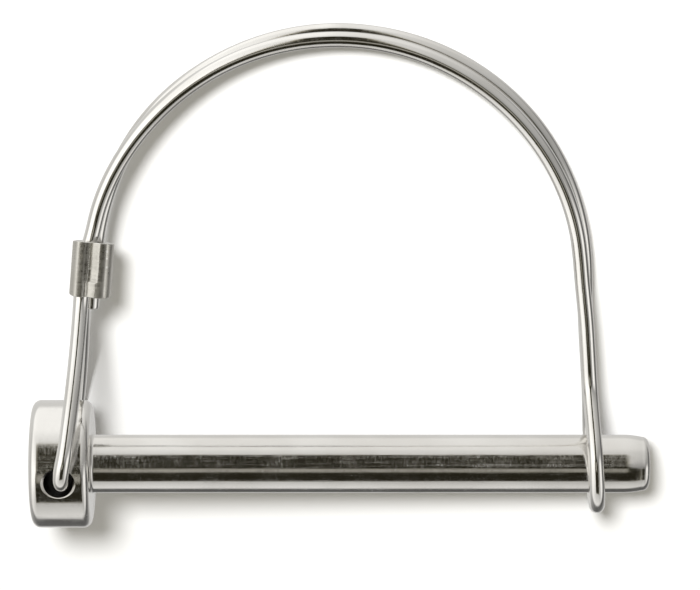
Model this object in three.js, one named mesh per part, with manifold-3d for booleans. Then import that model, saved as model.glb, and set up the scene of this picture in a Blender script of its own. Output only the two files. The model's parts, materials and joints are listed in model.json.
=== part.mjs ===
// Wire lock pin: a round-headed steel pin whose tip is held by the loop of a sprung wire bail.
// The pin lies along X with the centre of its head's outer face at the origin and its tip at +X.
// The bail stands towards +Y. Its two strands lie one above the other in Z. Millimetres, +Z up.
import * as THREE from 'three';
import { mergeVertices } from 'three/addons/utils/BufferGeometryUtils.js';
import Module from 'manifold-3d';

const wasm = await Module();
wasm.setup();

// ---------- driving dimensions ----------

// pin
const shaftDia = 7.94;
const shaftLength = 76.2;
const rootFillet = 0.4;
const tipTaper = 3.6;
const tipDrop = 0.28;
const tipRound = 1.0;
const headDia = 17.46;
const headLength = 8.1;
const headEdge = 1.15;
const eyeHoleDia = 4.0;

// wire and the clearances that it keeps
const wireDia = 2.1;
const strandGap = 0.06;
const splitGap = 0.3;
const crimpGap = 0.12;
const shaftGap = 0.78;

// eye: the wire runs straight through the head's hole and bends up outside both mouths
const eyeOffset = 0.4;
const eyeBend = 3.0;
const eyeOverrun = 0.35;
const legBow = 0.35;

// ferrule, crimped round three strands
const ferruleLead = 4.1;
const ferruleHeight = 28.0;
const ferruleLength = 7.0;
const ferruleWidth = 4.7;
const ferruleLean = THREE.MathUtils.degToRad(5.2);
const ferruleWall = 0.3;
const tailLength = 2.2;
const innerEnd = 2.9;

// arch and loop
const archHeight = 26.7;
const leftLean = THREE.MathUtils.degToRad(4.8);
const rightLean = THREE.MathUtils.degToRad(4.1);
const loopSetback = 7.5;
const loopNeck = 12;
const neckStart = 2;
const pairSkew = [-0.6, 0.33, 0.72, 1.0, 0.6];
const skewFade = 10;

// facets
const pinSides = 48;
const roundSteps = 4;
const wireSides = 8;
const holeSides = 24;

// ---------- derived places ----------

const shaftR = shaftDia / 2;
const headR = headDia / 2;
const wireR = wireDia / 2;
const tipX = headLength + shaftLength;
const holeX = headLength / 2;
const hingeX = holeX + eyeOffset;

const loopX = tipX - loopSetback;
const loopR = shaftR + shaftGap + wireR;
const strandPitch = wireDia + strandGap;

const ferruleX = hingeX + ferruleLead;
const leftX = ferruleX - (ferruleHeight - archHeight) * Math.tan(leftLean);
const rightX = loopX - archHeight * Math.tan(rightLean);
const archR = (rightX - leftX) / (1 / Math.cos(leftLean) + 1 / Math.cos(rightLean));
const archX = leftX + archR / Math.cos(leftLean);
const archStart = Math.PI - Math.asin((ferruleHeight + ferruleLength * 0.66 - archHeight) / archR);
const crownAngle = Math.PI / 2;

// Strand centres in the ferrule, as distance from its axis in its own width and depth.
const bunchDepth = strandPitch * 0.78;
const tailSide = 0.35;
const legSide = tailSide - Math.sqrt(strandPitch ** 2 - bunchDepth ** 2);
const frontTopSide = -0.25;
const pairDepth = strandPitch / 2;
const sleeveSide = ferruleWidth / 2 - ferruleWall - crimpGap - wireR;
const sleeveDepth = bunchDepth * 0.75;

// ---------- solids ----------

function toManifold(geometry) {
  const bare = new THREE.BufferGeometry();
  bare.setAttribute('position', geometry.getAttribute('position').clone());
  if (geometry.index) {
    bare.setIndex(geometry.index.clone());
  }
  const merged = mergeVertices(bare, 1e-4);
  const mesh = new wasm.Mesh({
    numProp: 3,
    vertProperties: Float32Array.from(merged.getAttribute('position').array),
    triVerts: Uint32Array.from(merged.index.array),
  });
  return new wasm.Manifold(mesh);
}

function toGeometry(solid) {
  const mesh = solid.getMesh();
  const geometry = new THREE.BufferGeometry();
  geometry.setAttribute('position', new THREE.BufferAttribute(mesh.vertProperties, 3));
  geometry.setIndex(new THREE.BufferAttribute(mesh.triVerts, 1));
  geometry.computeVertexNormals();
  return geometry;
}

// Points of a quarter round between two ends, as [radius, station along the axis].
function quarterRound(centreRadius, centreStation, size, fromAngle, toAngle) {
  const points = [];
  for (let i = 0; i <= roundSteps; i += 1) {
    const angle = fromAngle + (toAngle - fromAngle) * i / roundSteps;
    const radius = centreRadius + size * Math.cos(angle);
    const station = centreStation + size * Math.sin(angle);
    points.push(new THREE.Vector2(radius, station));
  }
  return points;
}

function pinGeometry() {
  const right = Math.PI / 2;
  const faceR = headR - headEdge;
  const noseR = shaftR - tipDrop - tipRound;
  const profile = [
    new THREE.Vector2(0, 0),
    ...quarterRound(faceR, headEdge, headEdge, -right, 0),
    ...quarterRound(faceR, headLength - headEdge, headEdge, 0, right),
    ...quarterRound(shaftR + rootFillet, headLength + rootFillet, rootFillet, -right, -Math.PI),
    new THREE.Vector2(shaftR, tipX - tipTaper),
    ...quarterRound(noseR, tipX - tipRound, tipRound, 0, right),
    new THREE.Vector2(0, tipX),
  ];
  const turned = new THREE.LatheGeometry(profile, pinSides);
  turned.rotateZ(-right);
  const drill = new THREE.CylinderGeometry(eyeHoleDia / 2, eyeHoleDia / 2, headDia * 1.2, holeSides);
  drill.rotateX(right);
  drill.translate(holeX, 0, 0);
  return toGeometry(toManifold(turned).subtract(toManifold(drill)));
}

// ---------- wire ----------

function wireGeometry(points, step) {
  const path = new THREE.CatmullRomCurve3(points, false, 'centripetal');
  const section = new THREE.Shape();
  for (let i = 0; i < wireSides; i += 1) {
    const angle = 2 * Math.PI * (i + 0.5) / wireSides;
    const x = wireR * Math.cos(angle);
    const y = wireR * Math.sin(angle);
    if (i === 0) {
      section.moveTo(x, y);
    } else {
      section.lineTo(x, y);
    }
  }
  section.closePath();
  const steps = Math.ceil(path.getLength() / step);
  return new THREE.ExtrudeGeometry(section, { steps, extrudePath: path, bevelEnabled: false });
}

// A point given from the ferrule's centre: side across its width, rise along it, depth in Z.
function atFerrule(side, rise, depth) {
  const x = ferruleX + side * Math.cos(ferruleLean) + rise * Math.sin(ferruleLean);
  const y = ferruleHeight - side * Math.sin(ferruleLean) + rise * Math.cos(ferruleLean);
  return new THREE.Vector3(x, y, depth);
}

// How far the rear strand stands outside the front one, along the arch from 0 to 1.
function skewAt(share) {
  const place = share * (pairSkew.length - 1);
  const index = Math.min(Math.floor(place), pairSkew.length - 2);
  const ease = THREE.MathUtils.smoothstep(place - index, 0, 1);
  return THREE.MathUtils.lerp(pairSkew[index], pairSkew[index + 1], ease);
}

// Half the depth between two touching strands that stand skew apart in the bail's plane.
function halfDepth(skew) {
  return Math.sqrt(strandPitch ** 2 - skew ** 2) / 2;
}

// Arch points between two angles; layer is +1 for the front strand and -1 for the rear one.
function archPoints(fromAngle, toAngle, layer, count) {
  const points = [];
  for (let i = 0; i <= count; i += 1) {
    const angle = fromAngle + (toAngle - fromAngle) * i / count;
    const skew = skewAt((archStart - angle) / (archStart - rightLean));
    const radius = archR - layer * skew / 2;
    const x = archX + radius * Math.cos(angle);
    const y = archHeight + radius * Math.sin(angle);
    points.push(new THREE.Vector3(x, y, layer * halfDepth(skew)));
  }
  return points;
}

// One leg from the middle of the head's hole to the ferrule's lower end.
function legPoints(layer) {
  const mouthZ = headR - eyeOverrun;
  const legZ = mouthZ + eyeBend;
  const foot = new THREE.Vector3(hingeX, 0, 0);
  const top = atFerrule(legSide, -ferruleLength / 2, 0);
  const along = top.clone().sub(foot).normalize();
  const across = new THREE.Vector3(along.y, -along.x, 0);
  const length = top.distanceTo(foot);
  const points = [new THREE.Vector3(hingeX, 0, layer * mouthZ / 2)];
  for (let i = 0; i <= 4; i += 1) {
    const angle = (Math.PI / 2) * i / 4;
    const rise = eyeBend * (1 - Math.cos(angle));
    const z = mouthZ + eyeBend * Math.sin(angle);
    points.push(foot.clone().addScaledVector(along, rise).setZ(layer * z));
  }
  const bendTop = eyeBend + 1.5;
  for (let i = 0; i <= 5; i += 1) {
    const share = i / 5;
    const rise = THREE.MathUtils.lerp(bendTop, length - 1.2, share);
    const ease = 0.25 * THREE.MathUtils.smoothstep(share, 0, 1) + 0.75 * share;
    const z = THREE.MathUtils.lerp(legZ - 0.25, bunchDepth + 0.25, ease);
    const bow = legBow * Math.sin(Math.PI * rise / length);
    points.push(foot.clone().addScaledVector(along, rise).addScaledVector(across, bow).setZ(layer * z));
  }
  return points;
}

// From the inner end, down the rear leg, through the head, up the front leg and over the arch.
function eyeRun() {
  const half = ferruleLength / 2;
  const rear = legPoints(-1).reverse();
  const front = legPoints(1);
  const split = crownAngle + splitGap / 2 / archR;
  return [
    atFerrule(legSide, half - innerEnd, -bunchDepth),
    atFerrule(legSide, -half + 1.5, -bunchDepth),
    ...rear,
    new THREE.Vector3(hingeX, 0, 0),
    ...front,
    atFerrule(legSide, -half + 1.5, bunchDepth),
    atFerrule(legSide, half - innerEnd, bunchDepth),
    atFerrule((legSide + frontTopSide) / 2, half - 1, (bunchDepth + pairDepth) / 2),
    ...archPoints(archStart, split, 1, 12),
  ];
}

// From the cut tail up through the ferrule and over the arch behind the other strand.
function tailRun() {
  const half = ferruleLength / 2;
  const split = crownAngle + splitGap / 2 / archR;
  return [
    atFerrule(tailSide, -half - tailLength, 0),
    atFerrule(tailSide, -half, 0),
    atFerrule(tailSide, half - innerEnd, 0),
    atFerrule(tailSide, half - 1, -0.7 * pairDepth),
    ...archPoints(archStart, split, -1, 12),
  ];
}

// Leg and half of the loop, from the arch down to the lowest point of the round under the shaft.
function loopPoints(layer) {
  const points = [];
  const down = new THREE.Vector3(Math.sin(rightLean), -Math.cos(rightLean), 0);
  const across = new THREE.Vector3(Math.cos(rightLean), Math.sin(rightLean), 0);
  const centre = new THREE.Vector3(loopX, 0, 0);
  const legTop = archHeight / Math.cos(rightLean) + archR * Math.tan(rightLean);
  const place = (rise, side, z) => centre.clone().addScaledVector(down, -rise).addScaledVector(across, side).setZ(z);
  for (let rise = legTop - 2.5; rise > loopNeck; rise -= 3) {
    const fade = THREE.MathUtils.smoothstep(rise, legTop - skewFade, legTop);
    const skew = pairSkew[pairSkew.length - 1] * fade;
    points.push(place(rise, -layer * skew / 2, layer * halfDepth(skew)));
  }
  for (let i = 0; i <= 6; i += 1) {
    const rise = THREE.MathUtils.lerp(loopNeck, neckStart, i / 6);
    const open = 1 - THREE.MathUtils.smoothstep(rise, neckStart, loopNeck);
    points.push(place(rise, 0, layer * THREE.MathUtils.lerp(pairDepth, loopR, open)));
  }
  for (let i = 0; i < 6; i += 1) {
    const angle = (Math.PI / 2) * i / 6;
    points.push(place(-loopR * Math.sin(angle), 0, layer * loopR * Math.cos(angle)));
  }
  return points;
}

function loopRun() {
  const split = crownAngle - splitGap / 2 / archR;
  const bottom = new THREE.Vector3(loopX + loopR * Math.sin(rightLean), -loopR * Math.cos(rightLean), 0);
  return [
    ...archPoints(split, rightLean, 1, 12),
    ...loopPoints(1),
    bottom,
    ...loopPoints(-1).reverse(),
    ...archPoints(split, rightLean, -1, 12).reverse(),
  ];
}

// ---------- ferrule ----------

// Rounded outline drawn taut round the three strands, grow outside their centres.
function bunchOutline(grow) {
  const corners = [
    { x: legSide, y: -bunchDepth, from: Math.PI, to: Math.PI * 1.5 },
    { x: sleeveSide, y: -sleeveDepth, from: Math.PI * 1.5, to: 2 * Math.PI },
    { x: sleeveSide, y: sleeveDepth, from: 0, to: Math.PI * 0.5 },
    { x: legSide, y: bunchDepth, from: Math.PI * 0.5, to: Math.PI },
  ];
  const points = [];
  for (const corner of corners) {
    for (let i = 0; i <= roundSteps; i += 1) {
      const angle = corner.from + (corner.to - corner.from) * i / roundSteps;
      points.push(new THREE.Vector2(corner.x + grow * Math.cos(angle), corner.y + grow * Math.sin(angle)));
    }
  }
  return points;
}

function ferruleGeometry() {
  const sleeve = new THREE.Shape(bunchOutline(wireR + crimpGap + ferruleWall));
  sleeve.holes.push(new THREE.Path(bunchOutline(wireR + crimpGap).reverse()));
  const geometry = new THREE.ExtrudeGeometry(sleeve, { depth: ferruleLength, bevelEnabled: false });
  geometry.translate(0, 0, -ferruleLength / 2);
  geometry.rotateX(-Math.PI / 2);
  return geometry;
}

// ---------- materials and assembly ----------

const plated = new THREE.MeshStandardMaterial({ color: 0xc9c7c2, roughness: 0.18, metalness: 1 });
const springWire = new THREE.MeshStandardMaterial({ color: 0xbdbab4, roughness: 0.22, metalness: 1 });
const crimped = new THREE.MeshStandardMaterial({ color: 0xa9a69f, roughness: 0.42, metalness: 1 });

function addPart(parent, name, geometry, material) {
  const mesh = new THREE.Mesh(geometry, material);
  mesh.name = name;
  parent.add(mesh);
  return mesh;
}

const group = new THREE.Group();
addPart(group, 'pin', pinGeometry(), plated);
addPart(group, 'bail_wire_eye_run', wireGeometry(eyeRun(), 1.25), springWire);
addPart(group, 'bail_wire_tail_run', wireGeometry(tailRun(), 2), springWire);
addPart(group, 'bail_wire_loop_run', wireGeometry(loopRun(), 1.4), springWire);
const ferrule = addPart(group, 'ferrule', ferruleGeometry(), crimped);
ferrule.position.set(ferruleX, ferruleHeight, 0);
ferrule.rotation.z = -ferruleLean;

export default group;
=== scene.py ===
"""Wire lock pin: plated steel pin, sprung wire bail and crimped ferrule, on a white table."""

import json
import math

import bmesh
import bpy
import numpy as np
from mathutils import Matrix, Vector


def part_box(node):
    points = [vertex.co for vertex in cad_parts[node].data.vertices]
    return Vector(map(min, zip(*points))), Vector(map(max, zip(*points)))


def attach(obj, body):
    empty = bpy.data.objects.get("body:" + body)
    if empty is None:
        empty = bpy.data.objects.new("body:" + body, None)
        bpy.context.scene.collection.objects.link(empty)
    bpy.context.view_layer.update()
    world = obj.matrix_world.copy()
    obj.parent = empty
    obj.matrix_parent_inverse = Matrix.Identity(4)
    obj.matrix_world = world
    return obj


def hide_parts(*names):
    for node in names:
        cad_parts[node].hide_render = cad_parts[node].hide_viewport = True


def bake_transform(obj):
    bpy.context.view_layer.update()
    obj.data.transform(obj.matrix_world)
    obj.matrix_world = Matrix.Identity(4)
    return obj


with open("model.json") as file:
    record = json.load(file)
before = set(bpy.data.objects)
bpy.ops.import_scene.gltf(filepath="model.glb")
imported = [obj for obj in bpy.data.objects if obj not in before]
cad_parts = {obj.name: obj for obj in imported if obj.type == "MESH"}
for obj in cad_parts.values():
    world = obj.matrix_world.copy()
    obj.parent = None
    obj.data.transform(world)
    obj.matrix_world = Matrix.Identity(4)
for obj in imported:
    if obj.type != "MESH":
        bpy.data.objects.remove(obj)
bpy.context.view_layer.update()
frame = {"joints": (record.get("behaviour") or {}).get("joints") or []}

MM = 0.001
MICRON = 0.000001

# ---------- sizes of the real pieces, in millimetres ----------

# pin
PIN_LOW, PIN_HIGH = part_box("pin")
PIN_LENGTH = (PIN_HIGH.x - PIN_LOW.x) / MM
HEAD_R = (PIN_HIGH.y - PIN_LOW.y) / MM / 2
HEAD_LENGTH = 8.1
HEAD_EDGE = 1.15
SHAFT_R = 7.94 / 2
ROOT_FILLET = 0.4
TIP_TAPER = 3.6
TIP_DROP = 0.28
TIP_ROUND = 1.0
HOLE_R = 2.0
HOLE_X = HEAD_LENGTH / 2
COUNTERSINK = 0.12

# wire
WIRE_R = 1.05
STRAND_PITCH = 2 * WIRE_R + 0.06
CRIMP_GAP = 0.12

# eye
JOINTS = {joint["name"]: joint for joint in frame["joints"]}
HINGE_X = JOINTS["bail_swing"]["pos_m"][0] / MM
MOUTH_Z = HEAD_R - 0.35
EYE_BEND = 3.0
LEG_BOW = 0.35

# ferrule: its place, its length, and how far the wire's two ends stand from its ends
FERRULE_X = HINGE_X + 4.1
FERRULE_Y = 28.0
FERRULE_LENGTH = 7.0
FERRULE_LEAN = math.radians(5.2)
FERRULE_WALL = 0.3
TAIL_LENGTH = 2.2
INNER_END = 2.9
RIM = 0.12
THINNEST_WALL = 0.12
DEEPEST_HOLE = 1.25
HOLE_CLEARANCE = 0.02
END_SLANT = 0.24

# crimp: the seam down the front with the sheet's end rolled under it, two flattened lobes, jaw marks
SEAM_SIDE = -0.20
SEAM_JOG = 0.28
SEAM_JOG_RISE = (1.0, 1.5)
SEAM_DEPTH = 0.50
UNDERLAP = 1.40
SEAM_LIP = 0.03
SEAM_PROUD = 0.36
PROUD_REACH = 1.25
LOBE = 0.65
LOBE_REACH = 1.05
FLATTER = 0.17
BACK_HOLLOW = 0.15
EDGE_FADE = 1.2
JAW_RIDGE = 0.006
JAW_PITCH = 0.52
JAW_WIDTH = 0.7
# each mark is its rise, its side, its half height and its depth
JAW_MARKS = (
    (-1.15, 0.7, 0.17, 0.06), (-1.85, 0.8, 0.16, 0.03), (0.35, 0.8, 0.28, 0.03), (1.6, 0.7, 0.2, 0.02),
    (-0.3, -1.0, 0.3, 0.02), (-1.5, -0.9, 0.22, 0.03), (2.1, -1.2, 0.3, 0.02), (0.9, -1.1, 0.18, 0.02),
)
BUNCH_DEPTH = STRAND_PITCH * 0.78
TAIL_SIDE = 0.35
LEG_SIDE = TAIL_SIDE - math.sqrt(STRAND_PITCH**2 - BUNCH_DEPTH**2)
FRONT_TOP_SIDE = -0.25
PAIR_DEPTH = STRAND_PITCH / 2
SLEEVE_SIDE = 4.7 / 2 - FERRULE_WALL - CRIMP_GAP - WIRE_R
SLEEVE_DEPTH = BUNCH_DEPTH * 0.75

# arch and loop
ARCH_Y = 26.7
LEFT_LEAN = math.radians(4.8)
RIGHT_LEAN = math.radians(4.1)
LOOP_X = JOINTS["bail_spread"]["pos_m"][0] / MM
LOOP_R = SHAFT_R + 0.78 + WIRE_R
LOOP_NECK = 12.0
NECK_START = 2.0
PAIR_SKEW = (-0.6, 0.33, 0.72, 1.0, 0.6)
SKEW_FADE = 10.0
LEFT_X = FERRULE_X - (FERRULE_Y - ARCH_Y) * math.tan(LEFT_LEAN)
RIGHT_X = LOOP_X - ARCH_Y * math.tan(RIGHT_LEAN)
ARCH_R = (RIGHT_X - LEFT_X) / (1 / math.cos(LEFT_LEAN) + 1 / math.cos(RIGHT_LEAN))
ARCH_X = LEFT_X + ARCH_R / math.cos(LEFT_LEAN)
ARCH_START = math.pi - math.asin((FERRULE_Y + FERRULE_LENGTH * 0.66 - ARCH_Y) / ARCH_R)

# plate, wire and sleeve colours, each between a dark and a light tone
PLATE_TONES = ((0.69, 0.675, 0.645), (0.77, 0.76, 0.735))
# painted shade: the bore of the cross hole is painted near black, for the shade inside it
BORE_SHADE_TONE = (0.035, 0.03, 0.024)
WIRE_TONES = ((0.74, 0.725, 0.695), (0.82, 0.81, 0.785))
SLEEVE_TONES = ((0.50, 0.485, 0.44), (0.64, 0.625, 0.58))
# painted highlight: the brighter tone painted on the sleeve's proud edges
EDGE_HIGHLIGHT_TONE = (0.72, 0.71, 0.68)
TABLE_TONE = (0.93, 0.93, 0.93)

# table, light and camera
TABLE_LOW = -13.12
TABLE_SLOPE_X = 0.0813
TABLE_SLOPE_Y = 0.1263
TABLE_REACH = 1200
VIEW_CENTRE = (43.39, 24.04, 0)
CAMERA_TILT = math.radians(16)
CAMERA_DISTANCE = 475
CAMERA_LENS = 180.8
KEY_TARGET = (42, 25, -8)
KEY_FROM = (-0.17, 0.46, 1.0)
KEY_DISTANCE = 0.9
KEY_SIZE = 0.21
KEY_POWER = 8.2
AMBIENT = 0.37


# ---------- small helpers ----------

def smoothstep(value, low, high):
    t = min(max((value - low) / (high - low), 0.0), 1.0)
    return t * t * (3 - 2 * t)


def lerp(a, b, share):
    return a + (b - a) * share


def spread(low, high, count):
    """Evenly spaced values, both ends included."""
    return [lerp(low, high, i / (count - 1)) for i in range(count)]


def add_object(name, mesh):
    obj = bpy.data.objects.new(name, mesh)
    bpy.context.scene.collection.objects.link(obj)
    return obj


def grid_faces(rows, columns, first=0):
    """Quads of a grid whose columns close on themselves, facing out round a counter-clockwise section."""
    faces = []
    for row in range(rows - 1):
        for column in range(columns):
            after = (column + 1) % columns
            a = first + row * columns + column
            b = first + row * columns + after
            faces.append((a, b, b + columns, a + columns))
    return faces


def finish_mesh(mesh, sharp_degrees):
    """Merges doubles, turns all faces outwards, and smooths all but the sharp edges."""
    work = bmesh.new()
    work.from_mesh(mesh)
    bmesh.ops.remove_doubles(work, verts=work.verts, dist=1e-7)
    bmesh.ops.recalc_face_normals(work, faces=work.faces)
    for face in work.faces:
        face.smooth = True
    work.to_mesh(mesh)
    work.free()
    mesh.set_sharp_from_angle(angle=math.radians(sharp_degrees))


def baked(obj, name):
    """The evaluated object as a plain mesh object. The one with the modifier is removed."""
    graph = bpy.context.evaluated_depsgraph_get()
    mesh = bpy.data.meshes.new_from_object(obj.evaluated_get(graph))
    bpy.data.objects.remove(obj)
    mesh.name = name
    return add_object(name, mesh)


# ---------- shader building ----------

def add_node(tree, kind, place, **values):
    node = tree.nodes.new(kind)
    node.location = place
    for key, value in values.items():
        setattr(node, key, value)
    return node


def join(tree, source, target):
    tree.links.new(source, target)


def math_node(tree, operation, first, second, place):
    """A math node whose two inputs are numbers, sockets or None."""
    node = add_node(tree, "ShaderNodeMath", place, operation=operation)
    for socket, value in zip(node.inputs, (first, second)):
        if isinstance(value, (int, float)):
            socket.default_value = value
        elif value is not None:
            join(tree, value, socket)
    return node.outputs[0]


def noise(tree, vector, scale, detail, place, roughness=0.5):
    node = add_node(tree, "ShaderNodeTexNoise", place)
    node.inputs["Scale"].default_value = scale
    node.inputs["Detail"].default_value = detail
    node.inputs["Roughness"].default_value = roughness
    join(tree, vector, node.inputs["Vector"])
    return node.outputs["Fac"]


def ranged(tree, value, low, high, to_low, to_high, place):
    node = add_node(tree, "ShaderNodeMapRange", place, interpolation_type="SMOOTHSTEP")
    for name, number in (("From Min", low), ("From Max", high), ("To Min", to_low), ("To Max", to_high)):
        node.inputs[name].default_value = number
    join(tree, value, node.inputs["Value"])
    return node.outputs["Result"]


def new_group(name, inputs, outputs):
    """A shader group, its inputs given as (name, type, default) and its outputs as (name, type)."""
    group = bpy.data.node_groups.new(name, "ShaderNodeTree")
    for label, kind, value in inputs:
        socket = group.interface.new_socket(label, in_out="INPUT", socket_type=kind)
        if value is not None:
            socket.default_value = value
    for label, kind in outputs:
        group.interface.new_socket(label, in_out="OUTPUT", socket_type=kind)
    given = add_node(group, "NodeGroupInput", (-1200, 0)).outputs
    results = add_node(group, "NodeGroupOutput", (900, 0)).inputs
    return group, given, results


def draw_lines_group():
    """Fine lines left by drawing or polishing along one direction, plus a few deeper scratches."""
    group, given, out = new_group(
        "Draw lines",
        [("Vector", "NodeSocketVector", None), ("Across", "NodeSocketFloat", 3000.0),
         ("Along", "NodeSocketFloat", 60.0)],
        [("Lines", "NodeSocketFloat"), ("Scratches", "NodeSocketFloat")],
    )
    split = add_node(group, "ShaderNodeSeparateXYZ", (-1000, 100))
    join(group, given["Vector"], split.inputs[0])
    stretched = add_node(group, "ShaderNodeCombineXYZ", (-600, 100))
    for axis, density in enumerate(("Along", "Across", "Across")):
        place = (-800, 250 - 150 * axis)
        scaled = math_node(group, "MULTIPLY", split.outputs[axis], given[density], place)
        join(group, scaled, stretched.inputs[axis])
    fine = noise(group, stretched.outputs[0], 1.0, 4.0, (-400, 250), 0.65)
    coarse = noise(group, stretched.outputs[0], 0.33, 2.0, (-400, 0))
    join(group, ranged(group, fine, 0.3, 0.7, 0.0, 1.0, (-150, 250)), out["Lines"])
    join(group, ranged(group, coarse, 0.66, 0.74, 0.0, 1.0, (-150, 0)), out["Scratches"])
    return group


def handling_group():
    """Nicks, faint smudges and slow changes of tone from handling and plating."""
    group, given, out = new_group(
        "Handling marks",
        [("Vector", "NodeSocketVector", None), ("Nick Scale", "NodeSocketFloat", 900.0)],
        [("Nicks", "NodeSocketFloat"), ("Smudge", "NodeSocketFloat"), ("Tone", "NodeSocketFloat")],
    )
    cells = add_node(group, "ShaderNodeTexVoronoi", (-900, 300), feature="F1")
    join(group, given["Vector"], cells.inputs["Vector"])
    join(group, given["Nick Scale"], cells.inputs["Scale"])
    cells.inputs["Randomness"].default_value = 1.0
    rare = noise(group, given["Vector"], 420.0, 1.0, (-900, 0))
    dot = ranged(group, cells.outputs["Distance"], 0.06, 0.16, 1.0, 0.0, (-600, 300))
    chosen = ranged(group, rare, 0.56, 0.62, 0.0, 1.0, (-600, 0))
    join(group, math_node(group, "MULTIPLY", dot, chosen, (-350, 200)), out["Nicks"])
    haze = noise(group, given["Vector"], 260.0, 3.0, (-900, -250), 0.6)
    join(group, ranged(group, haze, 0.42, 0.7, 0.0, 1.0, (-600, -250)), out["Smudge"])
    slow = noise(group, given["Vector"], 90.0, 2.0, (-900, -500))
    join(group, ranged(group, slow, 0.3, 0.7, 0.0, 1.0, (-600, -500)), out["Tone"])
    return group


def fine_wear_group():
    """Hairlines left by use, lengthwise and crosswise, and a fine uneven polish between them."""
    group, given, out = new_group(
        "Fine wear",
        [("Vector", "NodeSocketVector", None), ("Fineness", "NodeSocketFloat", 1.0)],
        [("Hairlines", "NodeSocketFloat"), ("Mottle", "NodeSocketFloat")],
    )
    scaled = add_node(group, "ShaderNodeVectorMath", (-1000, 0), operation="SCALE")
    join(group, given["Vector"], scaled.inputs[0])
    join(group, given["Fineness"], scaled.inputs["Scale"])

    def streaks(density, row):
        sized = add_node(group, "ShaderNodeVectorMath", (-800, row), operation="MULTIPLY")
        sized.inputs[1].default_value = density
        join(group, scaled.outputs["Vector"], sized.inputs[0])
        return noise(group, sized.outputs["Vector"], 1.0, 2.0, (-600, row), 0.6)

    along = ranged(group, streaks((240.0, 6500.0, 6500.0), 300), 0.50, 0.78, 0.0, 1.0, (-350, 300))
    across = ranged(group, streaks((5200.0, 520.0, 520.0), 0), 0.50, 0.80, 0.0, 0.8, (-350, 0))
    join(group, math_node(group, "MAXIMUM", along, across, (-100, 150)), out["Hairlines"])
    fine = ranged(group, streaks((3600.0, 1700.0, 1700.0), -300), 0.25, 0.85, 0.0, 1.0, (-350, -300))
    patches = noise(group, scaled.outputs["Vector"], 330.0, 2.0, (-600, -600))
    patches = ranged(group, patches, 0.30, 0.70, 0.50, 1.0, (-350, -600))
    join(group, math_node(group, "MULTIPLY", fine, patches, (-100, -300)), out["Mottle"])
    return group


def new_material(name):
    material = bpy.data.materials.new(name)
    material.use_nodes = True
    tree = material.node_tree
    shader = tree.nodes["Principled BSDF"]
    shader.location = (900, 0)
    tree.nodes["Material Output"].location = (1200, 0)
    return material, tree, shader


def placed_group(tree, group, place, vector, **values):
    node = add_node(tree, "ShaderNodeGroup", place, node_tree=group)
    join(tree, vector, node.inputs["Vector"])
    for label, value in values.items():
        node.inputs[label.replace("_", " ")].default_value = value
    return node.outputs


def tone_mix(tree, mask, first, second, place):
    """A colour between two, which are colours or sockets."""
    mix = add_node(tree, "ShaderNodeMix", place, data_type="RGBA")
    for name, tone in (("A", first), ("B", second)):
        if isinstance(tone, tuple):
            mix.inputs[name].default_value = (*tone, 1)
        else:
            join(tree, tone, mix.inputs[name])
    join(tree, mask, mix.inputs["Factor"])
    return mix.outputs["Result"]


def roughened(tree, base, layers):
    """The base roughness plus each mask times its weight."""
    total = base
    for column, (mask, weight) in enumerate(layers):
        x = 180 * column
        total = math_node(tree, "ADD", total, math_node(tree, "MULTIPLY", mask, weight, (x, 250)), (x, 100))
    return total


def bumped(tree, layers):
    """One normal through several bumps, each given as its height mask and its depth in micrometres."""
    normal = None
    for column, (height, depth) in enumerate(layers):
        bump = add_node(tree, "ShaderNodeBump", (180 * column, -300))
        bump.inputs["Strength"].default_value = 1.0
        bump.inputs["Distance"].default_value = depth * MICRON
        join(tree, height, bump.inputs["Height"])
        if normal is not None:
            join(tree, normal, bump.inputs["Normal"])
        normal = bump.outputs["Normal"]
    return normal


def sunk(tree, mask, place):
    """The mask turned over, so that what it marks lies deeper."""
    return math_node(tree, "SUBTRACT", 1.0, mask, place)


def finish_metal(tree, shader, colour, roughness, normal):
    join(tree, colour, shader.inputs["Base Color"])
    shader.inputs["Metallic"].default_value = 1.0
    join(tree, roughness, shader.inputs["Roughness"])
    join(tree, normal, shader.inputs["Normal"])


def turning_rings(tree, place):
    """Rings round the pin's axis, only on its flat end faces."""
    split = add_node(tree, "ShaderNodeSeparateXYZ", (-900, -300))
    join(tree, place, split.inputs[0])
    squares = math_node(
        tree, "ADD",
        math_node(tree, "POWER", split.outputs[1], 2.0, (-700, -450)),
        math_node(tree, "POWER", split.outputs[2], 2.0, (-700, -600)), (-500, -500),
    )
    radius = add_node(tree, "ShaderNodeCombineXYZ", (-700, -300))
    join(tree, math_node(tree, "SQRT", squares, None, (-350, -500)), radius.inputs[0])
    rings = noise(tree, radius.outputs[0], 9000.0, 3.0, (-150, -400), 0.6)
    facing = add_node(tree, "ShaderNodeSeparateXYZ", (-700, -800))
    join(tree, add_node(tree, "ShaderNodeNewGeometry", (-900, -800)).outputs["Normal"], facing.inputs[0])
    endwise = math_node(tree, "ABSOLUTE", facing.outputs[0], None, (-500, -800))
    flat = ranged(tree, endwise, 0.9, 0.98, 0.0, 1.0, (-300, -800))
    return math_node(tree, "MULTIPLY", rings, flat, (100, -500))


def bore_mask(tree, place):
    """1 inside the head's cross hole and 0 outside it. It paints shade into the bore and roughens it."""
    level = add_node(tree, "ShaderNodeVectorMath", (-900, 600), operation="MULTIPLY")
    level.inputs[1].default_value = (1, 1, 0)
    join(tree, place, level.inputs[0])
    from_hole = add_node(tree, "ShaderNodeVectorMath", (-700, 600), operation="DISTANCE")
    from_hole.inputs[1].default_value = (HOLE_X * MM, 0, 0)
    join(tree, level.outputs["Vector"], from_hole.inputs[0])
    edge = (HOLE_R + 0.01) * MM, (HOLE_R + 0.03) * MM
    return ranged(tree, from_hole.outputs["Value"], *edge, 1.0, 0.0, (-500, 600))


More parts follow.
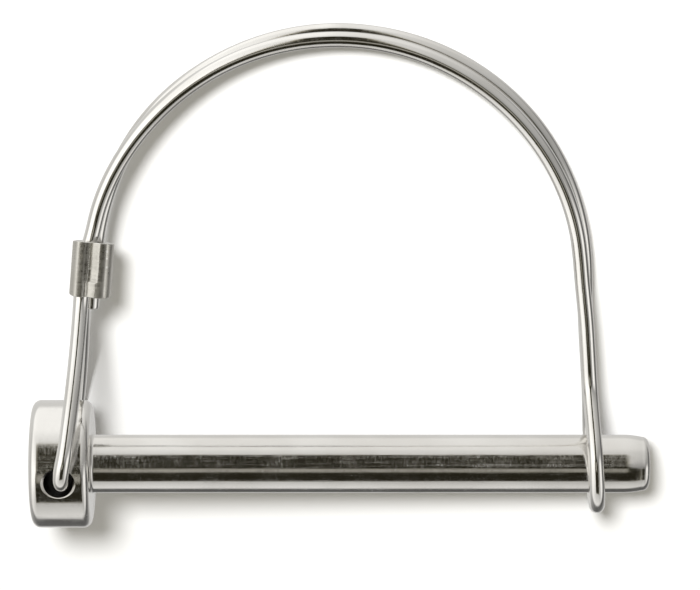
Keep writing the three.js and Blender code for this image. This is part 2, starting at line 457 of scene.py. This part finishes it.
def plated_steel(lines_group, marks_group, wear_group):
    """Bright plate on the turned pin: polishing lines along the shaft, faint rings on its flat faces, and
    painted shade inside its cross hole.
    """
    material, tree, shader = new_material("plated_steel")
    place = add_node(tree, "ShaderNodeTexCoord", (-1200, 0)).outputs["Object"]
    lines = placed_group(tree, lines_group, (-900, 300), place, Across=5200.0, Along=70.0)
    marks = placed_group(tree, marks_group, (-900, 0), place, Nick_Scale=1500.0)
    wear = placed_group(tree, wear_group, (-900, -1050), place, Fineness=1.0)
    bore = bore_mask(tree, place)
    plate = tone_mix(tree, marks["Tone"], *PLATE_TONES, (100, 500))
    # painted shade: inside the cross hole the plate is painted near black, for the shade in the bore
    colour = tone_mix(tree, bore, plate, BORE_SHADE_TONE, (350, 500))
    roughness = roughened(tree, 0.065, (
        (lines["Lines"], 0.05), (bore, 0.35), (marks["Smudge"], 0.05),
        (lines["Scratches"], 0.07), (wear["Hairlines"], 0.10), (wear["Mottle"], 0.12),
    ))
    normal = bumped(tree, (
        (lines["Lines"], 1.2), (wear["Hairlines"], 0.6), (wear["Mottle"], 1.0),
        (sunk(tree, lines["Scratches"], (0, -500)), 1.2), (sunk(tree, marks["Nicks"], (200, -500)), 1.5),
        (turning_rings(tree, place), 4.0),
    ))
    finish_metal(tree, shader, colour, roughness, normal)
    return material


def spring_wire(lines_group, marks_group, wear_group):
    """Bright drawn wire. The lines follow its length through the coordinate stored on the swept mesh."""
    material, tree, shader = new_material("spring_wire")
    place = add_node(tree, "ShaderNodeAttribute", (-1200, 0), attribute_name="wire_place").outputs["Vector"]
    lines = placed_group(tree, lines_group, (-900, 300), place, Across=5200.0, Along=90.0)
    marks = placed_group(tree, marks_group, (-900, 0), place, Nick_Scale=800.0)
    wear = placed_group(tree, wear_group, (-900, -700), place, Fineness=0.8)
    colour = tone_mix(tree, marks["Tone"], *WIRE_TONES, (100, 500))
    roughness = roughened(tree, 0.06, (
        (lines["Lines"], 0.05), (marks["Smudge"], 0.06), (wear["Hairlines"], 0.06), (wear["Mottle"], 0.05),
    ))
    normal = bumped(tree, (
        (lines["Lines"], 1.0), (wear["Hairlines"], 1.2), (sunk(tree, marks["Nicks"], (0, -500)), 3.0),
    ))
    finish_metal(tree, shader, colour, roughness, normal)
    return material


def crimped_sleeve(lines_group, marks_group, wear_group):
    """Satin sheet metal with a painted highlight: its proud edges are painted a brighter tone."""
    material, tree, shader = new_material("crimped_sleeve")
    place = add_node(tree, "ShaderNodeTexCoord", (-1200, 0)).outputs["Object"]
    turned = add_node(tree, "ShaderNodeMapping", (-1050, 200))
    turned.inputs["Rotation"].default_value = (0.0, 0.0, -FERRULE_LEAN)
    join(tree, place, turned.inputs["Vector"])
    lines = placed_group(tree, lines_group, (-850, 300), turned.outputs[0], Across=4200.0, Along=500.0)
    marks = placed_group(tree, marks_group, (-850, 0), place, Nick_Scale=1100.0)
    wear = placed_group(tree, wear_group, (-850, -1000), place, Fineness=0.7)
    grain = noise(tree, place, 5200.0, 3.0, (-850, -300), 0.6)
    pointiness = add_node(tree, "ShaderNodeNewGeometry", (-850, -500)).outputs["Pointiness"]
    # painted highlight: convex places, found by pointiness, are painted a brighter tone
    edge = ranged(tree, pointiness, 0.50, 0.56, 0.0, 1.0, (-600, -500))
    sheet = tone_mix(tree, marks["Tone"], *SLEEVE_TONES, (100, 500))
    colour = tone_mix(tree, edge, sheet, EDGE_HIGHLIGHT_TONE, (350, 500))
    roughness = roughened(tree, 0.21, (
        (lines["Lines"], 0.10), (wear["Mottle"], 0.12), (marks["Smudge"], 0.08),
    ))
    normal = bumped(tree, (
        (lines["Lines"], 0.8), (grain, 0.6), (wear["Hairlines"], 0.5),
        (sunk(tree, marks["Nicks"], (0, -500)), 4.0),
    ))
    finish_metal(tree, shader, colour, roughness, normal)
    return material


# ---------- pin ----------

def quarter_round(radius, station, size, start, stop, steps=14):
    """Points of an arc in the plane of radius and station."""
    return [(radius + size * math.cos(a), station + size * math.sin(a)) for a in spread(start, stop, steps)]


def revolved(name, profile, segments, axis):
    """Closed mesh turned from (radius, station) points that start and end on the axis."""
    rings = profile[1:-1]
    angles = [2 * math.pi * i / segments for i in range(segments)]
    points = [(0.0, 0.0, profile[0][1])]
    for radius, station in rings:
        points += [(radius * math.cos(a), radius * math.sin(a), station) for a in angles]
    points.append((0.0, 0.0, profile[-1][1]))
    last = len(points) - 1
    faces = grid_faces(len(rings), segments, 1)
    for i in range(segments):
        after = (i + 1) % segments
        faces.append((0, 1 + after, 1 + i))
        faces.append((last, last - segments + i, last - segments + after))
    mesh = bpy.data.meshes.new(name)
    mesh.from_pydata(points, [], faces)
    mesh.transform(Matrix.Scale(MM, 4))
    if axis == "X":
        mesh.transform(Matrix(((0, 0, 1, 0), (1, 0, 0, 0), (0, 1, 0, 0), (0, 0, 0, 1))))
    return mesh


def make_pin(material):
    right = math.pi / 2
    face_r = HEAD_R - HEAD_EDGE
    nose_r = SHAFT_R - TIP_DROP - TIP_ROUND
    taper_start = PIN_LENGTH - TIP_TAPER
    taper_stop = PIN_LENGTH - TIP_ROUND
    barrel = [(HEAD_R, x) for x in spread(HEAD_EDGE, HEAD_LENGTH - HEAD_EDGE, 17)][1:-1]
    taper = [
        (SHAFT_R - TIP_DROP * ((x - taper_start) / (taper_stop - taper_start)) ** 2, x)
        for x in spread(taper_start, taper_stop, 12)
    ][:-1]
    profile = [
        (0.0, 0.0),
        *[(r, 0.0) for r in spread(1.0, face_r, 6)[:-1]],
        *quarter_round(face_r, HEAD_EDGE, HEAD_EDGE, -right, 0.0),
        *barrel,
        *quarter_round(face_r, HEAD_LENGTH - HEAD_EDGE, HEAD_EDGE, 0.0, right),
        *quarter_round(SHAFT_R + ROOT_FILLET, HEAD_LENGTH + ROOT_FILLET, ROOT_FILLET, -right, -math.pi, 8),
        *taper,
        *quarter_round(nose_r, taper_stop, TIP_ROUND, 0.0, right),
        (0.0, PIN_LENGTH),
    ]
    pin = add_object("pin_body", revolved("pin_body", profile, 384, "X"))
    finish_mesh(pin.data, 30)
    mouth = math.sqrt(HEAD_R**2 - HOLE_R**2)
    reach = HEAD_R + 1.0
    flare = COUNTERSINK + reach - mouth
    drill_profile = [
        (0.0, -reach), (HOLE_R + flare, -reach), (HOLE_R, COUNTERSINK - mouth),
        (HOLE_R, mouth - COUNTERSINK), (HOLE_R + flare, reach), (0.0, reach),
    ]
    cutter = add_object("drill", revolved("drill", drill_profile, 128, "Z"))
    cutter.data.transform(Matrix.Translation((HOLE_X * MM, 0, 0)))
    finish_mesh(cutter.data, 30)
    cut = pin.modifiers.new("cross hole", "BOOLEAN")
    cut.operation = "DIFFERENCE"
    cut.solver = "EXACT"
    cut.object = cutter
    pin = baked(pin, "pin_body")
    bpy.data.objects.remove(cutter)
    for polygon in pin.data.polygons:
        polygon.use_smooth = True
    pin.data.set_sharp_from_angle(angle=math.radians(25))
    pin.data.materials.clear()
    pin.data.materials.append(material)
    return pin


# ---------- route of the wire ----------

def at_ferrule(side, rise, depth):
    """A point given from the ferrule's centre: side across its width, rise along it, depth in Z."""
    x = FERRULE_X + side * math.cos(FERRULE_LEAN) + rise * math.sin(FERRULE_LEAN)
    y = FERRULE_Y - side * math.sin(FERRULE_LEAN) + rise * math.cos(FERRULE_LEAN)
    return Vector((x, y, depth))


def skew_at(share):
    """How far the rear strand stands outside the front one, along the arch from 0 to 1."""
    place = share * (len(PAIR_SKEW) - 1)
    index = min(int(place), len(PAIR_SKEW) - 2)
    return lerp(PAIR_SKEW[index], PAIR_SKEW[index + 1], smoothstep(place - index, 0, 1))


def half_depth(skew):
    return math.sqrt(STRAND_PITCH**2 - skew**2) / 2


def arch_points(layer, count):
    points = []
    for angle in spread(ARCH_START, RIGHT_LEAN, count):
        skew = skew_at((ARCH_START - angle) / (ARCH_START - RIGHT_LEAN))
        radius = ARCH_R - layer * skew / 2
        x = ARCH_X + radius * math.cos(angle)
        y = ARCH_Y + radius * math.sin(angle)
        points.append(Vector((x, y, layer * half_depth(skew))))
    return points


def leg_points(layer):
    """One leg from the middle of the head's hole to the ferrule's lower end."""
    foot = Vector((HINGE_X, 0, 0))
    top = at_ferrule(LEG_SIDE, -FERRULE_LENGTH / 2, 0)
    along = (top - foot).normalized()
    across = Vector((along.y, -along.x, 0))
    length = (top - foot).length
    points = [Vector((HINGE_X, 0, layer * MOUTH_Z / 2))]
    for angle in spread(0, math.pi / 2, 5):
        point = foot + along * (EYE_BEND * (1 - math.cos(angle)))
        point.z = layer * (MOUTH_Z + EYE_BEND * math.sin(angle))
        points.append(point)
    for share in spread(0, 1, 6):
        rise = lerp(EYE_BEND + 1.5, length - 1.2, share)
        ease = 0.25 * smoothstep(share, 0, 1) + 0.75 * share
        point = foot + along * rise + across * (LEG_BOW * math.sin(math.pi * rise / length))
        point.z = layer * lerp(MOUTH_Z + EYE_BEND - 0.25, BUNCH_DEPTH + 0.25, ease)
        points.append(point)
    return points


def loop_points(layer):
    """Leg and half of the loop, from the arch down to just before the loop's lowest point."""
    down = Vector((math.sin(RIGHT_LEAN), -math.cos(RIGHT_LEAN), 0))
    across = Vector((math.cos(RIGHT_LEAN), math.sin(RIGHT_LEAN), 0))
    centre = Vector((LOOP_X, 0, 0))
    leg_top = ARCH_Y / math.cos(RIGHT_LEAN) + ARCH_R * math.tan(RIGHT_LEAN)

    def place(rise, side, z):
        point = centre - down * rise + across * side
        point.z = z
        return point

    points = []
    rise = leg_top - 2.5
    while rise > LOOP_NECK:
        skew = PAIR_SKEW[-1] * smoothstep(rise, leg_top - SKEW_FADE, leg_top)
        points.append(place(rise, -layer * skew / 2, layer * half_depth(skew)))
        rise -= 3
    for rise in spread(LOOP_NECK, NECK_START, 7):
        opening = 1 - smoothstep(rise, NECK_START, LOOP_NECK)
        points.append(place(rise, 0, layer * lerp(PAIR_DEPTH, LOOP_R, opening)))
    for angle in spread(0, math.pi / 2, 7)[:-1]:
        points.append(place(-LOOP_R * math.sin(angle), 0, layer * LOOP_R * math.cos(angle)))
    return points


def wire_points():
    """The whole wire: tail, rear strand, loop, front strand, front leg, eye, rear leg, inner end."""
    half = FERRULE_LENGTH / 2
    cross_side = (LEG_SIDE + FRONT_TOP_SIDE) / 2
    cross_depth = (BUNCH_DEPTH + PAIR_DEPTH) / 2
    bottom = Vector((LOOP_X + LOOP_R * math.sin(RIGHT_LEAN), -LOOP_R * math.cos(RIGHT_LEAN), 0))
    return [
        at_ferrule(TAIL_SIDE, -half - TAIL_LENGTH, 0),
        at_ferrule(TAIL_SIDE, -half, 0),
        at_ferrule(TAIL_SIDE, half - INNER_END, 0),
        at_ferrule(TAIL_SIDE, half - 1, -0.7 * PAIR_DEPTH),
        *arch_points(-1, 25),
        *loop_points(-1),
        bottom,
        *reversed(loop_points(1)),
        *reversed(arch_points(1, 25)),
        at_ferrule(cross_side, half - 1, cross_depth),
        at_ferrule(LEG_SIDE, half - INNER_END, BUNCH_DEPTH),
        at_ferrule(LEG_SIDE, -half + 1.5, BUNCH_DEPTH),
        *reversed(leg_points(1)),
        Vector((HINGE_X, 0, 0)),
        *leg_points(-1),
        at_ferrule(LEG_SIDE, -half + 1.5, -BUNCH_DEPTH),
        at_ferrule(LEG_SIDE, half - INNER_END, -BUNCH_DEPTH),
    ]


def centripetal(points, spacing):
    """Points about spacing apart on the centripetal Catmull-Rom curve through the given ones."""
    knots = [points[0] * 2 - points[1], *points, points[-1] * 2 - points[-2]]
    dense = []
    for a, b, c, d in zip(knots, knots[1:], knots[2:], knots[3:]):
        t1 = math.sqrt((b - a).length)
        t2 = t1 + math.sqrt((c - b).length)
        t3 = t2 + math.sqrt((d - c).length)
        for i in range(24):
            t = lerp(t1, t2, i / 24)
            ab = a * ((t1 - t) / t1) + b * (t / t1)
            bc = b * ((t2 - t) / (t2 - t1)) + c * ((t - t1) / (t2 - t1))
            cd = c * ((t3 - t) / (t3 - t2)) + d * ((t - t2) / (t3 - t2))
            abc = ab * ((t2 - t) / t2) + bc * (t / t2)
            bcd = bc * ((t3 - t) / (t3 - t1)) + cd * ((t - t1) / (t3 - t1))
            dense.append(abc * ((t2 - t) / (t2 - t1)) + bcd * ((t - t1) / (t2 - t1)))
    dense.append(points[-1].copy())
    curve = np.array([tuple(p) for p in dense])
    travelled = np.concatenate([[0], np.cumsum(np.linalg.norm(np.diff(curve, axis=0), axis=1))])
    count = int(travelled[-1] / spacing) + 1
    stations = np.linspace(0, travelled[-1], count)
    return np.stack([np.interp(stations, travelled, curve[:, k]) for k in range(3)], axis=1)


def relaxed(points, reach):
    """The route with its small unevenness smoothed out, as a springy wire takes it. The ends stay."""
    weights = np.exp(-0.5 * (np.arange(-3 * reach, 3 * reach + 1) / reach) ** 2)
    weights /= weights.sum()
    padded = np.concatenate([
        2 * points[0] - points[3 * reach:0:-1],
        points,
        2 * points[-1] - points[-2:-3 * reach - 2:-1],
    ])
    return np.stack([np.convolve(padded[:, k], weights, "valid") for k in range(3)], axis=1)


def wire_tree(material):
    """Geometry nodes that sweep a round section along an edge chain and store each point's place on it."""
    tree = bpy.data.node_groups.new("Swept wire", "GeometryNodeTree")
    tree.interface.new_socket("Geometry", in_out="INPUT", socket_type="NodeSocketGeometry")
    tree.interface.new_socket("Radius", in_out="INPUT", socket_type="NodeSocketFloat")
    tree.interface.new_socket("Sides", in_out="INPUT", socket_type="NodeSocketInt")
    tree.interface.new_socket("Geometry", in_out="OUTPUT", socket_type="NodeSocketGeometry")
    given = add_node(tree, "NodeGroupInput", (-900, 0)).outputs
    chain = add_node(tree, "GeometryNodeMeshToCurve", (-700, 0))
    length = add_node(tree, "GeometryNodeSplineParameter", (-700, -250))
    keep_length = add_node(tree, "GeometryNodeCaptureAttribute", (-450, 0))
    keep_length.capture_items.new("FLOAT", "Length")
    thickness = add_node(tree, "GeometryNodeInputNamedAttribute", (-450, -350), data_type="FLOAT")
    thickness.inputs["Name"].default_value = "thickness"
    circle = add_node(tree, "GeometryNodeCurvePrimitiveCircle", (-450, -600), mode="RADIUS")
    section = add_node(tree, "GeometryNodeInputPosition", (-450, -850))
    keep_section = add_node(tree, "GeometryNodeCaptureAttribute", (-200, -600))
    keep_section.capture_items.new("VECTOR", "Section")
    sweep = add_node(tree, "GeometryNodeCurveToMesh", (100, 0))
    sweep.inputs["Fill Caps"].default_value = True
    split = add_node(tree, "ShaderNodeSeparateXYZ", (100, -600))
    packed = add_node(tree, "ShaderNodeCombineXYZ", (300, -500))
    store = add_node(tree, "GeometryNodeStoreNamedAttribute", (400, 0), data_type="FLOAT_VECTOR",
                     domain="POINT")
    store.inputs["Name"].default_value = "wire_place"
    smooth = add_node(tree, "GeometryNodeSetShadeSmooth", (600, 0))
    realize = add_node(tree, "GeometryNodeRealizeInstances", (800, 0))
    paint = add_node(tree, "GeometryNodeSetMaterial", (1000, 0))
    paint.inputs["Material"].default_value = material
    leave = add_node(tree, "NodeGroupOutput", (1200, 0))
    join(tree, given["Geometry"], chain.inputs[0])
    join(tree, chain.outputs[0], keep_length.inputs["Geometry"])
    join(tree, length.outputs["Length"], keep_length.inputs["Length"])
    join(tree, thickness.outputs["Attribute"], sweep.inputs["Scale"])
    join(tree, given["Radius"], circle.inputs["Radius"])
    join(tree, given["Sides"], circle.inputs["Resolution"])
    join(tree, circle.outputs["Curve"], keep_section.inputs["Geometry"])
    join(tree, section.outputs[0], keep_section.inputs["Section"])
    join(tree, keep_length.outputs["Geometry"], sweep.inputs["Curve"])
    join(tree, keep_section.outputs["Geometry"], sweep.inputs["Profile Curve"])
    join(tree, keep_section.outputs["Section"], split.inputs[0])
    join(tree, keep_length.outputs["Length"], packed.inputs[0])
    join(tree, split.outputs[0], packed.inputs[1])
    join(tree, split.outputs[1], packed.inputs[2])
    join(tree, sweep.outputs["Mesh"], store.inputs["Geometry"])
    join(tree, packed.outputs[0], store.inputs["Value"])
    join(tree, store.outputs["Geometry"], smooth.inputs["Geometry"])
    join(tree, smooth.outputs["Geometry"], realize.inputs["Geometry"])
    join(tree, realize.outputs["Geometry"], paint.inputs["Geometry"])
    join(tree, paint.outputs["Geometry"], leave.inputs[0])
    return tree


def wire_route():
    return relaxed(centripetal(wire_points(), 0.3), 3)


def make_wire(route, material):
    """One swept piece for the whole bail wire, with softly broken edges at its two cut ends."""
    ends = 3
    first = route[0] + (route[1] - route[0]) * np.array([[0.0], [0.12], [0.35]])
    last = route[-1] + (route[-2] - route[-1]) * np.array([[0.35], [0.12], [0.0]])
    route = np.concatenate([first, route[1:-1], last])
    count = len(route)
    thickness = np.ones(count)
    thickness[:ends] = (0.86, 0.95, 0.995)
    thickness[-ends:] = (0.995, 0.95, 0.86)
    mesh = bpy.data.meshes.new("bail_wire_route")
    mesh.from_pydata([tuple(p) for p in route * MM], [(i, i + 1) for i in range(count - 1)], [])
    attribute = mesh.attributes.new("thickness", "FLOAT", "POINT")
    attribute.data.foreach_set("value", thickness.astype(np.float32))
    wire = add_object("bail_wire_route", mesh)
    tree = wire_tree(material)
    sweep = wire.modifiers.new("swept wire", "NODES")
    sweep.node_group = tree
    sockets = {item.name: item.identifier for item in tree.interface.items_tree if item.in_out == "INPUT"}
    sweep[sockets["Radius"]] = WIRE_R * MM
    sweep[sockets["Sides"]] = 32
    wire = baked(wire, "bail_wire")
    wire.data.set_sharp_from_angle(angle=math.radians(40))
    return wire


# ---------- ferrule ----------

def bunch_outline(grow, count):
    """Evenly spaced outline drawn taut round the three strands, with its outward normals."""
    corners = (
        (LEG_SIDE, -BUNCH_DEPTH, math.pi), (SLEEVE_SIDE, -SLEEVE_DEPTH, 1.5 * math.pi),
        (SLEEVE_SIDE, SLEEVE_DEPTH, 0.0), (LEG_SIDE, BUNCH_DEPTH, 0.5 * math.pi),
    )
    points = []
    for side, depth, start in corners:
        for angle in spread(start, start + math.pi / 2, 24):
            points.append((side + grow * math.cos(angle), depth + grow * math.sin(angle)))
    ring = np.array([*points, points[0]])
    travelled = np.concatenate([[0], np.cumsum(np.linalg.norm(np.diff(ring, axis=0), axis=1))])
    stations = np.arange(count) * travelled[-1] / count
    outline = np.stack([np.interp(stations, travelled, ring[:, k]) for k in range(2)], axis=1)
    step = np.roll(outline, -1, axis=0) - np.roll(outline, 1, axis=0)
    normal = np.stack([step[:, 1], -step[:, 0]], axis=1)
    return outline, normal / np.linalg.norm(normal, axis=1)[:, None]


def strands_at(route, rise):
    """Side and depth of each strand where it crosses the ferrule's section at this rise."""
    x = route[:, 0] - FERRULE_X
    y = route[:, 1] - FERRULE_Y
    side = x * math.cos(FERRULE_LEAN) - y * math.sin(FERRULE_LEAN)
    height = x * math.sin(FERRULE_LEAN) + y * math.cos(FERRULE_LEAN) - rise
    found = []
    for i in np.nonzero((height[:-1] * height[1:] <= 0) & (np.abs(side[:-1]) < 4))[0]:
        share = height[i] / (height[i] - height[i + 1] + 1e-12)
        depth = lerp(route[i, 2], route[i + 1, 2], share)
        found.append((lerp(side[i], side[i + 1], share), depth))
    return found


def room_inside(outline, normal, strands):
    """How far each outline point can move in before it comes near a strand."""
    room = np.full(len(outline), DEEPEST_HOLE + 0.06)
    for centre in strands:
        away = outline - np.array(centre)
        along = (away * normal).sum(axis=1)
        inside = along**2 - (away**2).sum(axis=1) + (WIRE_R + 0.03) ** 2
        reach = along - np.sqrt(np.maximum(inside, 0))
        room = np.where((inside > 0) & (reach > 0), np.minimum(room, reach), room)
    return room


def crimp_inset(outline, rise):
    """How far the sleeve is pressed in, in millimetres: seam in front, hollow behind, jaw marks."""
    side = outline[:, 0]
    seam = SEAM_SIDE - SEAM_JOG * smoothstep(-rise, *SEAM_JOG_RISE) + 0.02 * math.sin(2.1 * rise)
    front = np.clip(outline[:, 1] / EDGE_FADE, 0, 1)
    back = np.clip(-outline[:, 1] / EDGE_FADE, 0, 1)
    under = np.where(side > seam, np.clip(1 - (side - seam) / UNDERLAP, 0, 1) ** 2, 0)
    lip = np.exp(-(((side - seam + 0.16) / 0.10) ** 2))
    hollow = np.exp(-(((side + 0.1) / 0.7) ** 2))
    dent = sum(
        deep * np.exp(-(((rise - place) / wide) ** 2)) * np.exp(-(((side - over) / JAW_WIDTH) ** 2))
        for place, over, wide, deep in JAW_MARKS
    )
    from_lobe = np.where(side < seam, np.abs(side + LOBE), np.clip(side - LOBE, 0, None))
    proud = SEAM_PROUD * np.clip((side - seam) / PROUD_REACH, 0, 1)
    proud = proud + FLATTER * np.minimum(from_lobe, LOBE_REACH) ** 2
    ridge_fade = math.exp(-(((rise + 0.9) / 1.6) ** 2))
    ridges = JAW_RIDGE * math.cos(2 * math.pi * rise / JAW_PITCH) * ridge_fade
    seen = SEAM_DEPTH * under - proud + SEAM_LIP * lip + dent + ridges
    return front * seen + back * BACK_HOLLOW * hollow


def make_ferrule(route, material):
    """The crimped sleeve as one closed shell: outside up, top rim, hole down, bottom rim."""
    columns = 288
    half = FERRULE_LENGTH / 2
    outer, normal = bunch_outline(WIRE_R + CRIMP_GAP + FERRULE_WALL, columns)
    rings = []

    def ring(rise, rim_inset, inside):
        room = room_inside(outer, normal, strands_at(route, rise))
        hole = np.clip(room - HOLE_CLEARANCE, FERRULE_WALL - 0.04, DEEPEST_HOLE)
        if inside:
            inset = hole - rim_inset
        else:
            inset = np.minimum(crimp_inset(outer, rise), hole - THINNEST_WALL) + rim_inset
        rings.append((outer - normal * inset[:, None], rise))

    for angle in spread(0, math.pi / 2, 7):
        ring(-half + RIM * (1 - math.cos(angle)), RIM * (1 - math.sin(angle)), False)
    for rise in spread(-half + RIM, half - RIM, 110)[1:-1]:
        ring(rise, 0, False)
    for angle in spread(math.pi / 2, 0, 7):
        ring(half - RIM * (1 - math.cos(angle)), RIM * (1 - math.sin(angle)), False)
    for rise in (half - 0.01, *spread(half - 0.07, -half + 0.07, 36), -half + 0.01):
        ring(rise, 0 if abs(rise) < half - 0.05 else 0.04, True)
    count = len(rings)
    points = [
        tuple(at_ferrule(side, rise + END_SLANT * depth * smoothstep(rise, 0, half), depth))
        for outline, rise in rings for side, depth in outline
    ]
    faces = grid_faces(count, columns)
    for column in range(columns):
        after = (column + 1) % columns
        faces.append(((count - 1) * columns + column, (count - 1) * columns + after, after, column))
    mesh = bpy.data.meshes.new("ferrule_sleeve")
    mesh.from_pydata(points, [], faces)
    mesh.transform(Matrix.Scale(MM, 4))
    finish_mesh(mesh, 50)
    sleeve = add_object("ferrule_sleeve", mesh)
    mesh.materials.append(material)
    return sleeve


# ---------- table, light and camera ----------

def tilted(x, y):
    """Height of the table under the part, which lies on its eye, its loop and the crown of its arch."""
    return TABLE_LOW + TABLE_SLOPE_X * x + TABLE_SLOPE_Y * y


def make_table():
    """The plain white table. It clears seen from below, and the metal doesn't mirror it."""
    material, tree, shader = new_material("white_table")
    shader.inputs["Base Color"].default_value = (*TABLE_TONE, 1)
    shader.inputs["Roughness"].default_value = 0.9
    shader.inputs["Specular IOR Level"].default_value = 0.0
    clear = add_node(tree, "ShaderNodeBsdfTransparent", (900, 300))
    side = add_node(tree, "ShaderNodeNewGeometry", (900, 600)).outputs["Backfacing"]
    mix = add_node(tree, "ShaderNodeMixShader", (1100, 300))
    join(tree, side, mix.inputs["Fac"])
    join(tree, shader.outputs["BSDF"], mix.inputs[1])
    join(tree, clear.outputs["BSDF"], mix.inputs[2])
    join(tree, mix.outputs["Shader"], tree.nodes["Material Output"].inputs["Surface"])
    ends = (-TABLE_REACH, TABLE_REACH)
    corners = [(ends[0], ends[0]), (ends[1], ends[0]), (ends[1], ends[1]), (ends[0], ends[1])]
    mesh = bpy.data.meshes.new("table_top")
    mesh.from_pydata([(x * MM, y * MM, tilted(x, y) * MM) for x, y in corners], [], [(0, 1, 2, 3)])
    mesh.materials.append(material)
    table = add_object("table_top", mesh)
    table.visible_glossy = False


def make_tent():
    """Light tent that the metal mirrors: bright walls, a dark opening overhead, dim from below.

    Directions are degrees from overhead, px to the right and py to the back. Levels are brightness.
    """
    world = bpy.data.worlds.new("light_tent")
    bpy.context.scene.world = world
    world.use_nodes = True
    tree = world.node_tree
    background = tree.nodes["Background"]
    direction = add_node(tree, "ShaderNodeTexCoord", (-2400, 0)).outputs["Generated"]
    split = add_node(tree, "ShaderNodeSeparateXYZ", (-2200, 0))
    join(tree, direction, split.inputs[0])
    dx, dy, dz = split.outputs

    def calc(operation, first, second=None):
        return math_node(tree, operation, first, second, (-1800, 0))

    def mixed(share, first, second):
        kept = calc("MULTIPLY", calc("SUBTRACT", 1.0, share), first)
        return calc("ADD", kept, calc("MULTIPLY", share, second))

    def step(value, low, high):
        return ranged(tree, value, low, high, 0.0, 1.0, (-1400, 0))

    def turns(value, low, high, before, after):
        """A level that turns from one to the other while the value goes from low to high."""
        return mixed(step(value, low, high), before, after)

    def between(value, low, high, soft):
        return calc("MULTIPLY", step(value, low - soft, low + soft),
                    calc("SUBTRACT", 1.0, step(value, high - soft, high + soft)))

    level_part = calc("SQRT", calc("ADD", calc("MULTIPLY", dx, dx), calc("MULTIPLY", dy, dy)))
    level_part = calc("MAXIMUM", level_part, 0.0001)
    theta = calc("MULTIPLY", calc("ARCTAN2", level_part, dz), 180 / math.pi)
    ux = calc("DIVIDE", dx, level_part)
    uy = calc("DIVIDE", dy, level_part)
    px = calc("MULTIPLY", theta, ux)
    py = calc("MULTIPLY", theta, uy)

    behind, front, left, right = (
        calc("POWER", calc("MAXIMUM", calc("MULTIPLY", part, sign), 0.0), 2.0)
        for part, sign in ((uy, 1.0), (uy, -1.0), (ux, -1.0), (ux, 1.0))
    )

    def by_side(at_back, at_front, at_left, at_right):
        """Blends four levels by compass direction."""
        return calc("ADD",
                    calc("ADD", calc("MULTIPLY", behind, at_back), calc("MULTIPLY", front, at_front)),
                    calc("ADD", calc("MULTIPLY", left, at_left), calc("MULTIPLY", right, at_right)))

    back_wall = calc("MULTIPLY", turns(py, 60, 84, 0.84, 1.0), turns(px, -7, 2, 1.18, 1.0))
    front_wall = turns(py, -100, -52, 0.92, 0.64)
    left_wall = turns(px, -84, -62, 0.62, 1.45)
    right_wall = mixed(between(px, 46, 78, 8), 0.26, 1.25)
    right_wall = turns(py, -12, 14, right_wall, 0.38)
    walls = by_side(back_wall, front_wall, left_wall, right_wall)

    wall_foot = by_side(143.0, 99.0, 100.0, 88.0)
    front_under = turns(theta, 130, 146, 0.12, 0.66)
    under = by_side(0.78, front_under, 0.75, turns(theta, 112, 128, 0.14, 0.62))
    level = mixed(step(calc("SUBTRACT", theta, wall_foot), -6, 6), walls, under)

    left_edge = turns(py, -8, 8, -18.0, -10.0)
    right_edge = turns(py, -8, 8, 26.0, 9.5)
    past_left = step(calc("SUBTRACT", px, left_edge), -3, 3)
    past_right = step(calc("SUBTRACT", px, right_edge), -3, 3)
    opening_width = calc("MULTIPLY", past_left, calc("SUBTRACT", 1.0, past_right))
    opening = calc("MULTIPLY", between(py, -56, 54, 1.6), opening_width)
    strip = calc("MULTIPLY", between(py, -15.8, -1.5, 1.2), between(px, -9, 9, 2))
    level = mixed(opening, level, mixed(strip, 0.020, 0.38))

    path = add_node(tree, "ShaderNodeLightPath", (-400, 600))
    seen = path.outputs["Is Camera Ray"]
    level = mixed(path.outputs["Is Diffuse Ray"], level, calc("MULTIPLY", step(dz, -0.05, 0.05), AMBIENT))
    join(tree, mixed(seen, level, 1.0), background.inputs["Strength"])
    shade = calc("MULTIPLY", opening, calc("SUBTRACT", 1.0, calc("MULTIPLY", strip, 0.75)))
    warm_share = calc("MULTIPLY", shade, calc("SUBTRACT", 1.0, seen))
    warmth = tone_mix(tree, warm_share, (1.0, 0.99, 0.97), (1.0, 0.89, 0.52), (200, -300))
    join(tree, warmth, background.inputs["Color"])


def make_key_light():
    """Soft light from the upper left, its shadow to the lower right. The metal doesn't mirror it."""
    light = bpy.data.lights.new("key", "AREA")
    light.shape = "DISK"
    light.size = KEY_SIZE
    light.energy = KEY_POWER
    key = bpy.data.objects.new("key", light)
    target = Vector(KEY_TARGET) * MM
    key.location = target + Vector(KEY_FROM).normalized() * KEY_DISTANCE
    key.rotation_euler = (key.location - target).to_track_quat("Z", "Y").to_euler()
    key.visible_glossy = False
    bpy.context.scene.collection.objects.link(key)


def make_camera():
    """Long lens above the middle of the part, leaning to the arch's side."""
    data = bpy.data.cameras.new("camera")
    data.sensor_width = 36
    data.lens = CAMERA_LENS
    data.clip_start = 0.01
    camera = bpy.data.objects.new("camera", data)
    back = Vector((0, math.sin(CAMERA_TILT), math.cos(CAMERA_TILT)))
    camera.location = Vector(VIEW_CENTRE) * MM + back * (CAMERA_DISTANCE * MM)
    camera.rotation_euler = (-CAMERA_TILT, 0, 0)
    bpy.context.scene.collection.objects.link(camera)
    bpy.context.scene.camera = camera


# ---------- putting it together ----------

lines = draw_lines_group()
marks = handling_group()
wear = fine_wear_group()

pin = make_pin(plated_steel(lines, marks, wear))
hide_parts("pin")
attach(pin, "pin")

route = wire_route()
wire = make_wire(route, spring_wire(lines, marks, wear))
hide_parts("bail_wire_eye_run", "bail_wire_tail_run", "bail_wire_loop_run")
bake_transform(wire)

ferrule = make_ferrule(route, crimped_sleeve(lines, marks, wear))
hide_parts("ferrule")
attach(ferrule, "bail")

make_table()
make_tent()
make_key_light()
make_camera()
bpy.context.scene.view_settings.view_transform = "Standard"
